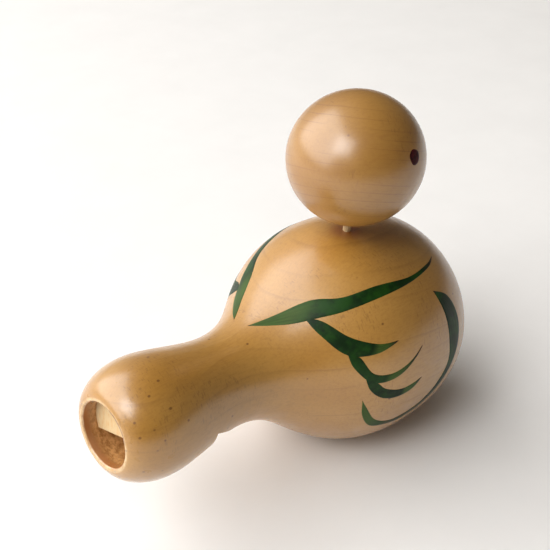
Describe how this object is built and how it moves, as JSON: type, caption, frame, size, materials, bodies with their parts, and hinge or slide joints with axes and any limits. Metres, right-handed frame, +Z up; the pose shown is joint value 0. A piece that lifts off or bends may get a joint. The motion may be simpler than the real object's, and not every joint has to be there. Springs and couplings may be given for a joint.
{
  "type": "ocarina",
  "caption": "Turned wooden bird-shaped whistle: gourd body with a flared mouthpiece tail, fipple block, and a ball head that turns on a thin neck peg.",
  "frame": {"origin": "centre of the base flat under the belly", "axes": "+X level, from the mouthpiece tail to the breast; +Y to the bird's left; +Z up"},
  "size_m": [0.0923, 0.05, 0.0788],
  "materials": {
    "turned_wood": "satin lacquer over pale close-grained wood",
    "block_wood": "bare wood, end grain showing",
    "peg_wood": "bare split wood"
  },
  "bodies": {
    "whistle": {"body": "turned_wood", "fipple_block": "block_wood", "neck_peg": "peg_wood"},
    "head_ball": {"head": "turned_wood"}
  },
  "joints": [
    {"name": "head_turn", "type": "hinge", "parent": "whistle", "child": "head_ball", "pos_m": [-0.00045, 0, 0.0651], "axis": [0.0941, 0, 0.9956], "continuous": true}
  ]
}
